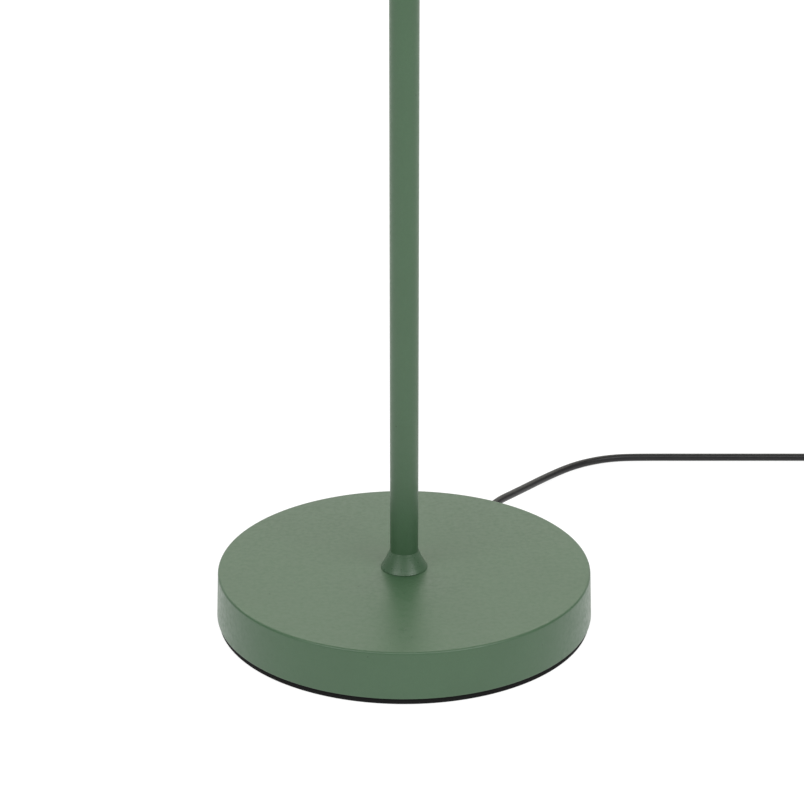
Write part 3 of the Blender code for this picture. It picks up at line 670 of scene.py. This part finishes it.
def make_gland(materials):
    """A bend relief: a flange against the skirt and a taper cut by rings of slots."""
    corners = [(3.0, 122.0), (4.2, 122.0), (4.2, 130.8)]
    corners += [(6.2, 130.8, 0.3), (6.2, 132.3, 0.6), (5.2, 133.1, 0.4), (4.8, 133.7, 0.4)]
    start, tip, slots = 136.0, 151.5, 5
    pitch = (tip - start) / slots

    def taper(height):
        return 4.8 - 0.9 * (height - 133.7) / 20.1

    for slot in range(slots):
        at = start + pitch * slot
        radius = taper(at)
        corners += [(radius, at, 0.15), (radius - 0.75, at + 0.15, 0.1)]
        corners += [(radius - 0.8, at + 0.9, 0.1), (radius - 0.07, at + 1.05, 0.15)]
    corners += [(3.9, 153.2, 0.3), (3.6, 154.0, 0.2), (3.0, 154.0, 0.1)]

    def webs(radius, height, angle):
        """Webs bridge each slot on two sides, turned by a quarter from one slot to the next."""
        along = (height - start) / pitch
        if not 0 <= along < slots or (along % 1) * pitch > 1.1:
            return radius
        quarter = math.pi / 2 * (int(along) % 2)
        web = ease((abs(math.cos(angle + quarter)) - 0.86) / 0.06)
        return radius + (taper(height) - radius) * web

    piece = turned("bend_relief", [materials["black"]], corners, MEDIUM, gland_frame(), webs)
    stands_for(piece, "cord_gland")


# ---------------------------------------------------------------- pivots and arm

ALONG_Y = Matrix.Rotation(-math.pi / 2, 4, "X")
OVER = Matrix.Rotation(math.pi, 4, "Y")
ARM_TURN = math.atan2((UPPER - LOWER).x, (UPPER - LOWER).z)
ARM_FRAME = Matrix.Translation(LOWER) @ Matrix.Rotation(ARM_TURN, 4, "Y")
ARM_LENGTH = (UPPER - LOWER).length / MM
ARM_END_FRAME = ARM_FRAME @ Matrix.Translation((0, 0, ARM_LENGTH * MM)) @ OVER
HEAD_FRAME = Matrix.Translation(UPPER) @ OVER
SWIVEL_FRAME = Matrix.Translation(LOWER) @ OVER
CUP_R = 13.0
CUP_FACE = 0.8  # mm from the pivot's middle plane
CUP_BACK = 8.3


def cup_shell(side):
    """A cup open towards the pivot's middle plane, with the bolt's bore in its back."""
    corners = [
        (9.5, CUP_FACE + 0.15),
        (CUP_R - 0.1, CUP_FACE + 0.15, 0.3),
        (CUP_R - 0.1, CUP_BACK - 0.1, 1.6),
        (7.4, CUP_BACK - 0.1, 0.4),
        (7.2, CUP_BACK - 0.45, 0.2),
        (BOLT_BORE_R, CUP_BACK - 0.45),
        (BOLT_BORE_R, 5.8),
        (9.5, 5.8),
    ]
    corners = [(corner[0], side * corner[1], *corner[2:]) for corner in corners]
    return turned_shape(corners, MEDIUM)


CAST_VOXEL = 0.42  # mm
CAST_ROUNDS = 6  # of smoothing


def knuckle(name, node, finish, stem, side, matrix, neck_end):
    """A cast cup, neck and stem, as one piece. The stem's corners run from its closed end."""
    neck_low, neck_high = sorted((side * (CUP_FACE + 0.2), side * (CUP_BACK - 0.6)))
    neck = block_shape((-4.9, neck_low, 10.4), (4.9, neck_high, neck_end))
    shells = [
        (turned_shape(stem, MEDIUM), Matrix()),
        (cup_shell(side), ALONG_Y),
        (neck, Matrix()),
    ]
    stands_for(cast(name, [finish], shells, matrix, CAST_VOXEL, CAST_ROUNDS), node)


def knob_reach(lobes, depth, outer):
    """Flutes cut into a knob's rim, fading out towards its middle."""

    def reach(radius, height, angle):
        share = ease((radius / outer - 0.35) / 0.5)
        return radius - depth * share * (0.5 - 0.5 * math.cos(lobes * angle))

    return reach


def make_clamp(materials, prefix, centre):
    """Bolt, friction ring, spring washer and knob of one pivot, along Y."""
    matrix = Matrix.Translation(centre) @ ALONG_Y
    head = [
        (0, -19.8),
        (2.6, -19.8),
        (2.95, -19.4),
        (2.95, CUP_BACK + 0.3),
        (5.5, CUP_BACK + 0.3, 0.2),
        (5.5, CUP_BACK + 1.9, 0.5),
        (4.0, CUP_BACK + 3.5, 1.2),
        (1.9, CUP_BACK + 3.75, 0.2),
        (1.7, CUP_BACK + 2.2),
        (0, CUP_BACK + 2.2),
    ]

    def hexagon_socket(radius, height, angle):
        """The recess in the bolt's head is a hexagon."""
        if height < CUP_BACK + 2.1 or radius > 2.0:
            return radius
        sector = angle % (math.pi / 3) - math.pi / 6
        return radius * math.cos(math.pi / 6) / math.cos(sector) * 1.08

    bolt = turned(prefix + "_pivot_bolt", [materials["zinc"]], head, MEDIUM, matrix, hexagon_socket)
    stands_for(bolt, prefix + "_hinge_bolt")
    ring = [(9.8, -0.5), (12.5, -0.5, 0.1), (12.5, 0.5, 0.1), (9.8, 0.5)]
    friction = turned(prefix + "_fibre_ring", [materials["washer"]], ring, MEDIUM, matrix)
    stands_for(friction, prefix + "_friction_ring")
    low, high = -CUP_BACK - 1.8, -CUP_BACK - 0.3
    spring = [
        (BOLT_BORE_R, low + 0.7),
        (7.0, low, 0.1),
        (7.0, low + 0.6, 0.1),
        (BOLT_BORE_R, high),
    ]
    washer = turned(prefix + "_spring_disc", [materials["zinc"]], spring, SMALL, matrix)
    stands_for(washer, prefix + "_spring_washer")

    face = -CUP_BACK - 2.1
    knob = [
        (0, face - 9.7),
        (BOLT_BORE_R, face - 9.7),
        (BOLT_BORE_R, face),
        (7.9, face, 0.3),
        (8.1, face - 1.4, 0.3),
        (11.7, face - 1.5, 0.8),
        (12.0, face - 6.5, 5.0),
        (11.6, face - 12.4, 1.8),
        (8.2, face - 12.5, 0.8),
        (7.6, face - 11.9, 0.4),
        (2.0, face - 11.7, 1.0),
        (0, face - 11.7),
    ]
    reach = knob_reach(lobes=8, depth=1.7, outer=12.0)
    piece = turned(prefix + "_grip", [materials["black"]], knob, 2 * MEDIUM, matrix, reach)
    stands_for(piece, prefix + "_knob")


def make_swivel(materials):
    stem = [
        (0, 21.15),
        (8.9, 21.15, 0.6),
        (9.4, 21.7, 0.3),
        (9.4, 25.3),
        (5.0, 25.3),
        (5.0, 62.0),
        (3.5, 62.0),
        (3.5, 27.0),
        (0, 27.0),
    ]
    knuckle("swivel_casting", "swivel_knuckle", materials["paint"], stem, 1, SWIVEL_FRAME, 23.0)


def make_arm(materials):
    stem = [
        (0, 17.1),
        (7.9, 17.1, 1.2),
        (7.9, 25.9, 0.9),
        (5.2, 25.9),
        (5.2, 42.0),
        (3.1, 42.0),
        (3.1, 24.0),
        (0, 24.0),
    ]
    paint = materials["paint"]
    knuckle("arm_casting", "arm_knuckle", paint, stem, -1, ARM_FRAME, 19.0)
    knuckle("arm_end_casting", "arm_end_knuckle", paint, stem, 1, ARM_END_FRAME, 19.0)
    socket = 26.3  # mm from each pivot to the tube's end
    low, high = socket, ARM_LENGTH - socket
    tube = [
        (5.5, low),
        (6.2, low),
        (6.5, low + 0.3, 0.25),
        (6.5, high - 0.3, 0.25),
        (6.2, high),
        (5.5, high),
    ]
    stands_for(turned("arm_rod", [paint], tube, MEDIUM, ARM_FRAME), "arm_tube")


# ---------------------------------------------------------------- head

SHADE_TOP = 88.3
SHADE_TOP_R = 25.5
SHADE_SHOULDER_R = 4.0
SHADE_MOUTH = 200.0
SHADE_MOUTH_R = 78.0
SHADE_WALL = 0.8
SHADE_HOLE_R = 20.1
SHADE_BEAD_R = 1.35
SHOULDER_STEPS = 10
SIDE_STEPS = 24
BEAD_STEPS = 24
SHADE_LEAN = math.atan2(SHADE_MOUTH_R - SHADE_TOP_R, SHADE_MOUTH - SHADE_TOP)


def make_shade(materials):
    """A spun cone: green outside, white inside, with the mouth's edge rolled into a bead."""
    bend = math.pi / 2 - SHADE_LEAN
    corner = Vector((SHADE_TOP_R, SHADE_TOP + SHADE_SHOULDER_R))
    corner.x -= SHADE_SHOULDER_R * math.tan(bend / 2)
    shoulder = []
    for radius in (SHADE_SHOULDER_R, SHADE_SHOULDER_R - SHADE_WALL):
        skin = []
        for step in range(SHOULDER_STEPS + 1):
            angle = -math.pi / 2 + bend * step / SHOULDER_STEPS
            skin.append(corner + radius * Vector((math.cos(angle), math.sin(angle))))
        shoulder.append(skin)

    bead = Vector((SHADE_MOUTH_R - SHADE_BEAD_R, SHADE_MOUTH - SHADE_BEAD_R))
    outward = Vector((math.cos(SHADE_LEAN), -math.sin(SHADE_LEAN)))
    upward = Vector((-math.sin(SHADE_LEAN), -math.cos(SHADE_LEAN)))
    ends = []
    for wall in (0.0, SHADE_WALL):
        off = (Vector((SHADE_MOUTH_R, SHADE_MOUTH)) - bead).dot(outward) - wall
        meet = outward * off + upward * math.sqrt(SHADE_BEAD_R**2 - off**2)
        ends.append(math.atan2(meet.y, meet.x))
    ends[1] += math.tau
    roll = []
    for step in range(BEAD_STEPS + 1):
        angle = ends[0] + (ends[1] - ends[0]) * step / BEAD_STEPS
        roll.append(bead + SHADE_BEAD_R * Vector((math.cos(angle), math.sin(angle))))

    def side(start, finish):
        return [start.lerp(finish, step / SIDE_STEPS) for step in range(1, SIDE_STEPS)]

    outline = [(SHADE_HOLE_R, SHADE_TOP)] + shoulder[0] + side(shoulder[0][-1], roll[0]) + roll
    outline += side(roll[-1], shoulder[1][-1]) + shoulder[1][::-1]
    outline.append((SHADE_HOLE_R, SHADE_TOP + SHADE_WALL))

    def lining(radius, height):
        """1 on the inner skin: on the flat top, the shoulder or the side."""
        if height > SHADE_MOUTH - 2 * SHADE_BEAD_R:
            return 0
        off = Vector((radius, height)) - corner
        if off.x <= 0:
            return 1 if height > SHADE_TOP + SHADE_WALL / 2 else 0
        inner_r = SHADE_SHOULDER_R - SHADE_WALL / 2
        if off.normalized().dot(upward) > 0:
            return 1 if off.length < inner_r else 0
        return 1 if off.dot(outward) < inner_r else 0

    finishes = [materials["paint"], materials["lining"]]
    points = [tuple(point) for point in outline]
    piece = turned("shade", finishes, points, 2 * FINE, HEAD_FRAME, zone=lining)
    stands_for(piece, "lampshade")


def make_socket(materials):
    """The painted cover, the casting that carries it, the lamp holder and the shade's ring."""
    cap = [
        (LEAD_BORE_R, 30.4),
        (8.5, 30.4, 0.3),
        (9.2, 31.2, 0.3),
        (22.0, 31.3, 10.0),
        (22.0, 84.0, 0.3),
        (21.6, 84.4, 0.2),
        (21.6, 85.0, 0.2),
        (22.0, 85.4, 0.3),
        (22.0, 88.0, 0.4),
        (21.0, 88.0),
        (21.0, 32.3, 9.0),
        (LEAD_BORE_R, 32.3),
    ]
    piece = turned("socket_cover", [materials["paint"]], cap, FINE, HEAD_FRAME)
    drill(piece, radius=2.6, low=18.0, high=26.0, matrix=switch_frame())
    stands_for(piece, "socket_cap")

    stem = [
        (0, 22.1),
        (6.9, 22.1, 0.8),
        (6.9, 29.9, 0.5),
        (LEAD_BORE_R, 29.9),
        (LEAD_BORE_R, 26.0),
        (0, 26.0),
    ]
    knuckle("head_casting", "head_knuckle", materials["paint"], stem, -1, HEAD_FRAME, 24.0)

    holder = [(LEAD_BORE_R, 32.6), (8.0, 32.6), (8.0, 58.3), (18.5, 58.3, 0.5)]
    holder.append((19.3, 59.8, 0.4))
    threads, first, pitch = 10, 78.0, 2.0
    for thread in range(threads):
        at = first + pitch * thread
        holder += [(18.9, at, 0.2), (19.45, at + 0.8, 0.2), (18.9, at + 1.6, 0.2)]
    holder += [(19.2, 98.6, 0.4), (19.0, 100.0, 0.6), (14.6, 100.0, 0.5), (13.7, 98.6, 0.3)]
    holder += [(13.7, 61.5), (LEAD_BORE_R, 61.5)]
    piece = turned("holder", [materials["white"]], holder, MEDIUM, HEAD_FRAME)
    stands_for(piece, "lamp_holder")

    ring = [
        (20.0, 89.6),
        (22.8, 89.6, 0.3),
        (23.3, 90.2, 0.3),
        (23.3, 94.4, 0.5),
        (22.6, 95.4, 0.4),
        (20.4, 95.4, 0.3),
        (20.0, 95.0, 0.2),
    ]

    def knurled(radius, height, angle):
        return radius - (0.35 + 0.35 * math.cos(36 * angle)) * ease((radius - 22.4) / 0.6)

    piece = turned("holder_ring", [materials["white"]], ring, 3 * MEDIUM, HEAD_FRAME, knurled)
    stands_for(piece, "shade_ring")


def make_bulb(materials):
    """A screw cap and a hollow glass globe with a tapering neck."""
    cap = [(0, 62.0), (4.2, 62.1, 0.8), (5.0, 63.4, 0.5), (9.5, 66.2, 1.0)]
    threads, first, pitch = 6, 69.0, 3.0
    for thread in range(threads):
        at = first + pitch * thread
        cap += [(12.6, at, 0.5), (13.2, at + 1.0, 0.6)]
        cap += [(13.2, at + 1.6, 0.6), (12.6, at + 2.6, 0.5)]
    cap += [(13.0, 88.0, 0.3), (13.0, 89.4), (0, 89.4)]
    piece = turned("bulb_screw_cap", [materials["nickel"]], cap, MEDIUM, HEAD_FRAME)
    stands_for(piece, "bulb_cap")

    centre, radius, wall = 140.0, 29.9, 1.0
    steps = 36
    outer = [(0, centre + radius)]
    for step in range(1, steps + 1):
        angle = math.radians(90 - 138 * step / steps)
        outer.append((radius * math.cos(angle), centre + radius * math.sin(angle)))
    neck = [(17.3, 111.6), (15.2, 107.4), (13.7, 103.0), (12.9, 98.0), (12.5, 93.0), (12.5, 89.7)]
    skin = outer + neck
    lining = [(r - wall, z) for r, z in reversed(skin[1:])]
    lining.append((0, centre + radius - wall))
    piece = turned("bulb_glass", [materials["glass"]], skin + lining, FINE, HEAD_FRAME)
    stands_for(piece, "bulb_globe")


def make_switch(materials):
    """A small ribbed turn knob and its spindle, on the side of the socket cover."""
    knob = [
        (0, 11.7),
        (1.6, 11.7),
        (2.0, 12.1),
        (2.0, 22.6),
        (5.4, 22.6, 0.3),
        (5.95, 23.2, 0.3),
        (5.95, 32.2, 0.8),
        (5.2, 32.95, 0.3),
        (0, 32.95),
    ]

    def ribs(radius, height, angle):
        return radius - 0.28 * (1 - math.cos(24 * angle)) * ease((radius - 5.0) / 0.8)

    piece = turned("switch_grip", [materials["black"]], knob, 2 * MEDIUM, switch_frame(), ribs)
    stands_for(piece, "switch_knob")


# ---------------------------------------------------------------- plug and tie


SLEEVE = 9.8  # mm of each pin, from its root, in black plastic


def make_plug(materials):
    """A flat moulded body that narrows to a ringed bend relief, and its two sleeved pins."""
    low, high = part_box("plug_body")
    middle = (low + high) / 2
    front = low.y / MM
    half_width = (high.x - low.x) / MM / 2
    half_height = (high.z - low.z) / MM / 2
    shape = bmesh.new()
    # Sections from the pins' face to the cord: (distance, half width, half height)
    sections = [
        (0.0, half_width - 1.2, half_height - 1.0),
        (0.6, half_width - 0.3, half_height - 0.3),
        (1.8, half_width, half_height),
        (9.0, half_width, half_height),
        (14.0, half_width - 1.4, half_height),
        (19.0, half_width - 4.6, half_height - 0.3),
        (24.0, half_width - 8.0, half_height - 0.9),
        (28.5, half_width - 10.6, half_height - 1.5),
        (31.0, 5.4, 4.9),
        (32.5, 4.9, 4.7),
    ]
    rings = 7
    pitch = 2.4
    for ring in range(rings):
        at = 34.0 + pitch * ring
        radius = 4.7 - 1.1 * ring / rings
        for along, inset in ((0.0, 0.0), (0.15, 0.6), (0.9, 0.65), (1.05, 0.1)):
            sections.append((at + along, radius - inset, radius - inset))
    sections += [(51.4, 3.5, 3.5), (51.9, 3.1, 3.1)]
    sides = MEDIUM
    loops = []
    for distance, wide, tall in sections:
        power = 2 + 3.0 * ease((wide - 5) / 6)
        loop = []
        for side in range(sides):
            angle = math.tau * side / sides
            cosine, sine = math.cos(angle), math.sin(angle)
            x = wide * math.copysign(abs(cosine) ** (2 / power), cosine)
            z = tall * math.copysign(abs(sine) ** (2 / power), sine)
            place = (middle.x + x * MM, (front + distance) * MM, middle.z + z * MM)
            loop.append(shape.verts.new(place))
        loops.append(loop)
    for first, second in zip(loops, loops[1:]):
        for side in range(sides):
            after = (side + 1) % sides
            shape.faces.new((first[side], first[after], second[after], second[side]))
    shape.faces.new(loops[0])
    shape.faces.new(loops[-1])
    plug = piece_from(shape, "plug_shell", [materials["black"]])
    stands_for(plug, "plug_body")
    found = [plug]

    def on_sleeve(radius, height):
        return 1 if height > -SLEEVE else 0

    for side in ("left", "right"):
        pin_low, pin_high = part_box("plug_pin_" + side)
        centre = (pin_low + pin_high) / 2
        length = (pin_high.y - pin_low.y) / MM
        matrix = Matrix.Translation((centre.x, pin_high.y, centre.z)) @ ALONG_Y
        outline = [
            (0, 0),
            (1.9, 0),
            (1.9, -SLEEVE, 0.1),
            (2.0, -SLEEVE - 0.2, 0.1),
            (2.0, -length + 1.6, 1.0),
            (1.0, -length, 0.5),
            (0, -length),
        ]
        finishes = [materials["nickel"], materials["black"]]

        pin = turned("pin_" + side, finishes, outline, SMALL, matrix, zone=on_sleeve)
        found.append(stands_for(pin, "plug_pin_" + side))
    return found


TIE_ANGLE = math.radians(205)


def make_tie(materials):
    """A soft strap pulled round the turns, following the section of the coil."""
    gap = 0.0003
    around = [
        (LOWER_TURNS[-1], COIL_FLOOR - CORD_D / 2 - gap),
        (LOWER_TURNS[0], COIL_FLOOR - CORD_D / 2 - gap),
    ]
    reach = CORD_D / 2 + gap
    steps = 8
    for centre_r, row, start, end in (
        (LOWER_TURNS[0], 0, -80, 20),
        (UPPER_TURNS[1], 1, 50, 90),
        (UPPER_TURNS[0], 1, 90, 146),
        (LOWER_TURNS[-1], 0, 152, 260),
    ):
        height = COIL_FLOOR + ROW_RISE * row
        for step in range(steps + 1):
            angle = math.radians(start + (end - start) * step / steps)
            around.append((centre_r + reach * math.cos(angle), height + reach * math.sin(angle)))
    centre = Vector((COIL_CENTRE[0], COIL_CENTRE[1], 0))
    out = Vector((math.cos(TIE_ANGLE), math.sin(TIE_ANGLE), 0))
    across = Vector((-out.y, out.x, 0))
    half_width, thick = 0.0034, 0.0006
    middle = Vector((0.037, COIL_FLOOR + ROW_RISE / 2))
    shape = bmesh.new()
    rows = []
    for point in around:
        inner = Vector(point)
        outward = (inner - middle).normalized() * thick
        outer = inner + outward
        outer.y = max(outer.y, 0.0001)
        row = []
        for flat, side in ((inner, -1), (inner, 1), (outer, 1), (outer, -1)):
            place = centre + out * flat.x + across * side * half_width
            row.append(shape.verts.new(place + Vector((0, 0, flat.y))))
        rows.append(row)
    for first, second in zip(rows, rows[1:] + rows[:1]):
        for index in range(4):
            after = (index + 1) % 4
            shape.faces.new((first[index], first[after], second[after], second[index]))
    tie = piece_from(shape, "strap", [materials["black"]])
    stands_for(tie, "cord_tie")
    return tie


# ---------------------------------------------------------------- the rest


def dress_hidden_nodes(materials):
    """The pieces inside keep their CAD shape and get a real finish."""
    finishes = {
        "base_weight": "iron",
        "base_washer": "zinc",
        "base_nut": "zinc",
        "base_nipple": "zinc",
        "cord_clamp_bar": "zinc",
        "cord_clamp_screw_left": "zinc",
        "cord_clamp_screw_right": "zinc",
        "pole_foot_bush": "zinc",
        "pole_coupler": "zinc",
        "pole_lead": "cord",
        "swivel_lock_nut": "zinc",
        "arm_lead": "cord",
        "head_lead": "cord",
        "head_nipple": "zinc",
        "switch_body": "white",
    }
    for node, finish in finishes.items():
        mesh = frame["nodes"][node].data
        mesh.materials.clear()
        mesh.materials.append(materials[finish])


def soft_box(name, place, aim, width, height, radiance, colour):
    """A large rectangular lamp that the camera doesn't see."""
    light = bpy.data.lights.new(name, "AREA")
    light.shape = "RECTANGLE"
    light.size = width
    light.size_y = height
    light.energy = radiance * width * height * math.pi
    light.color = colour
    box = bpy.data.objects.new(name, light)
    box.location = place
    box.rotation_euler = (Vector(aim) - Vector(place)).to_track_quat("-Z", "Y").to_euler()
    box.visible_camera = False
    bpy.context.scene.collection.objects.link(box)


WHITE = (1, 1, 1, 1)
ROOM_LIGHT = 0.40


def make_room():
    """A white room that lights the lamp dimly and that the camera sees as plain white."""
    scene = bpy.context.scene
    scene.view_settings.view_transform = "Standard"
    world = bpy.data.worlds.new("studio")
    world.use_nodes = True
    tree = world.node_tree
    room = tree.nodes["Background"]
    room.inputs["Color"].default_value = WHITE
    room.inputs["Strength"].default_value = ROOM_LIGHT
    seen = tree.nodes.new("ShaderNodeBackground")
    seen.inputs["Color"].default_value = WHITE
    share = tree.nodes.new("ShaderNodeMixShader")
    path = tree.nodes.new("ShaderNodeLightPath")
    tree.links.new(path.outputs["Is Camera Ray"], share.inputs[0])
    tree.links.new(room.outputs[0], share.inputs[1])
    tree.links.new(seen.outputs[0], share.inputs[2])
    tree.links.new(share.outputs[0], tree.nodes["World Output"].inputs["Surface"])
    scene.world = world


def make_floor():
    """A pale matt floor that glows, so that it stays nearly white and takes a soft shadow."""
    floor_mesh = bmesh.new()
    bmesh.ops.create_grid(floor_mesh, x_segments=1, y_segments=1, size=40.0)
    finish = Finish("floor", 0.9, Specular_IOR_Level=0.0, Emission_Strength=0.90)
    finish.shader.inputs["Emission Color"].default_value = WHITE
    finish.shader.inputs["Base Color"].default_value = (0.20, 0.20, 0.20, 1)
    floor = piece_from(floor_mesh, "floor", [finish.material])
    floor.location.z = -0.0002


def make_lamps():
    """Two boxes in front at either side, one in front and high, and two broad ones behind."""
    aim = (0, 0, 0.05)
    neutral, warm = (1.0, 1.0, 1.0), (1.0, 0.985, 0.89)
    for name, azimuth, elevation, distance, width, height, radiance, colour in (
        ("left_box", -47, 42, 3.0, 1.7, 1.6, 2.5, neutral),
        ("right_box", 47, 42, 3.0, 1.7, 1.6, 3.2, neutral),
        ("front_top_box", 0, 56, 3.2, 2.4, 1.7, 1.7, neutral),
        ("back_low_box", 180, 20, 4.0, 7.0, 1.9, 0.70, warm),
        ("back_high_box", 180, 48, 4.2, 7.0, 1.9, 1.9, warm),
    ):
        turn = math.radians(azimuth)
        rise = math.radians(elevation)
        flat = math.cos(rise)
        away = Vector((math.sin(turn) * flat, -math.cos(turn) * flat, math.sin(rise)))
        soft_box(name, Vector(aim) + away * distance, aim, width, height, radiance, colour)


def main():
    make_camera()
    materials = make_materials()
    cord = make_cord(materials)
    plug = make_plug(materials)
    tie = make_tie(materials)
    make_base(materials)
    make_collar(materials)
    make_pole(materials)
    make_gland(materials)
    make_swivel(materials)
    make_arm(materials)
    make_clamp(materials, "arm", LOWER)
    make_clamp(materials, "head", UPPER)
    make_socket(materials)
    make_shade(materials)
    make_bulb(materials)
    make_switch(materials)
    dress_hidden_nodes(materials)
    make_room()
    make_floor()
    make_lamps()


main()
